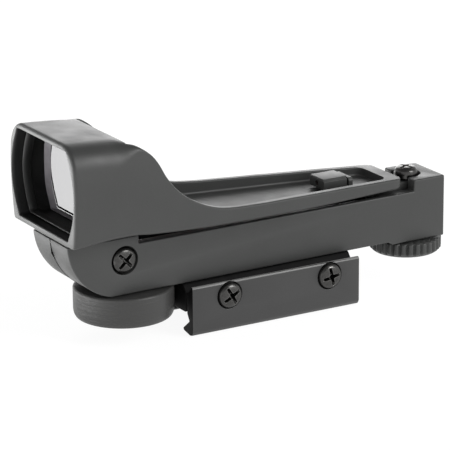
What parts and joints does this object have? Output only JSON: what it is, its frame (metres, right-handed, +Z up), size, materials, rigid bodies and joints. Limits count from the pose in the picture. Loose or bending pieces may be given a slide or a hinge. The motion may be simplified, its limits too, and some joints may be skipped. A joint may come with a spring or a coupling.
{
  "type": "red dot finder",
  "caption": "Compact reflex sight: open lens hood on a tapering arm, under-slung brightness dial, knurled elevation wheel, side windage screw and a two-jaw rail clamp.",
  "frame": {"origin": "centre of the clamp face that sits on the rail", "axes": "+X along the rail toward the eye end, with the window facing -X; +Z up, away from the rail; the loose jaw is on the -Y side"},
  "size_m": [0.1275, 0.039, 0.0606],
  "materials": {
    "black_plastic": "fine moulded satin",
    "painted_metal": "satin black paint",
    "dark_screw": "black oxide, worn bright",
    "bright_steel": "bright",
    "brass": "plain",
    "lens_glass": "coated",
    "seal_rubber": "matte",
    "board_green": "circuit board",
    "led_red": "clear moulded",
    "wire_red": "insulation",
    "wire_black": "insulation"
  },
  "bodies": {
    "base": {"base_housing": "black_plastic", "rail_clamp_block": "painted_metal", "block_screw_front": "dark_screw", "block_screw_rear": "dark_screw", "clamp_nut_front": "bright_steel", "clamp_nut_rear": "bright_steel", "dimmer_board": "board_green", "elevation_spring": "bright_steel"},
    "dial": {"brightness_dial": "black_plastic", "dial_clip": "bright_steel", "dial_wiper": "brass", "battery": "bright_steel"},
    "seal_carrier": {"cap_seal": "seal_rubber"},
    "cap": {"battery_cap": "black_plastic"},
    "windage_knob": {"windage_screw": "dark_screw", "windage_clip": "bright_steel"},
    "pivot": {"pivot_barrel": "brass", "barrel_clip": "bright_steel"},
    "sight": {"sight_body": "black_plastic", "reflector_lens": "lens_glass", "lens_frame": "black_plastic", "emitter_housing": "black_plastic", "emitter_led": "led_red", "emitter_board": "board_green", "emitter_clip": "black_plastic", "lamp_lead_red": "wire_red", "lamp_lead_black": "wire_black"},
    "lift_screw": {"elevation_screw": "dark_screw"},
    "lift_wheel": {"elevation_wheel": "black_plastic"},
    "jaw": {"clamp_jaw": "painted_metal"},
    "jaw_screw_front": {"clamp_screw_front": "dark_screw"},
    "jaw_screw_rear": {"clamp_screw_rear": "dark_screw"}
  },
  "joints": [
    {"name": "windage_screw_turn", "type": "hinge", "parent": "base", "child": "windage_knob", "pos_m": [-0.046, 0, 0.0183], "axis": [0, -1, 0], "range_deg": [-720, 720]},
    {"name": "windage_yaw", "type": "hinge", "parent": "base", "child": "pivot", "pos_m": [0.0515, 0, 0.023], "axis": [0, 0, 1], "range_deg": [-0.59, 0.59]},
    {"name": "elevation_pitch", "type": "hinge", "parent": "pivot", "child": "sight", "pos_m": [-0.046, 0, 0.0183], "axis": [0, 1, 0], "range_deg": [-0.4407, 0.4407]},
    {"name": "elevation_wheel_turn", "type": "hinge", "parent": "base", "child": "lift_wheel", "pos_m": [0.0515, 0, 0.005], "axis": [0, 0, 1], "range_deg": [-540, 540]},
    {"name": "elevation_screw_lift", "type": "slide", "parent": "base", "child": "lift_screw", "axis": [0, 0, 1], "range_m": [-0.00076, 0.00076], "deforming": ["elevation_spring"]},
    {"name": "dial_turn", "type": "hinge", "parent": "base", "child": "dial", "pos_m": [-0.0414, 0, 0.005], "axis": [0, 0, 1], "range_deg": [0, 270]},
    {"name": "cap_lift", "type": "slide", "parent": "dial", "child": "seal_carrier", "axis": [0, 0, -1], "range_m": [0, 0.0015]},
    {"name": "cap_turn", "type": "hinge", "parent": "seal_carrier", "child": "cap", "pos_m": [-0.0414, 0, 0.001], "axis": [0, 0, -1], "range_deg": [0, 720]},
    {"name": "jaw_slide", "type": "slide", "parent": "base", "child": "jaw", "axis": [0, -1, 0], "range_m": [0, 0.00199]},
    {"name": "clamp_screw_front_turn", "type": "hinge", "parent": "jaw", "child": "jaw_screw_front", "pos_m": [-0.0153, 0, 0.0041], "axis": [0, -1, 0], "range_deg": [0, 1028]},
    {"name": "clamp_screw_rear_turn", "type": "hinge", "parent": "jaw", "child": "jaw_screw_rear", "pos_m": [0.0172, 0, 0.0041], "axis": [0, -1, 0], "range_deg": [0, 1028]}
  ],
  "couplings": [
    {"joint": "windage_screw_turn", "follows": "windage_yaw", "ratio": -1225.2},
    {"joint": "elevation_screw_lift", "follows": "elevation_pitch", "m_per_rad": -0.0975},
    {"joint": "elevation_wheel_turn", "follows": "elevation_pitch", "ratio": 1225.2},
    {"joint": "cap_turn", "follows": "cap_lift", "rad_per_m": 8377.6},
    {"joint": "clamp_screw_front_turn", "follows": "jaw_slide", "rad_per_m": 8976},
    {"joint": "clamp_screw_rear_turn", "follows": "jaw_slide", "rad_per_m": 8976}
  ]
}
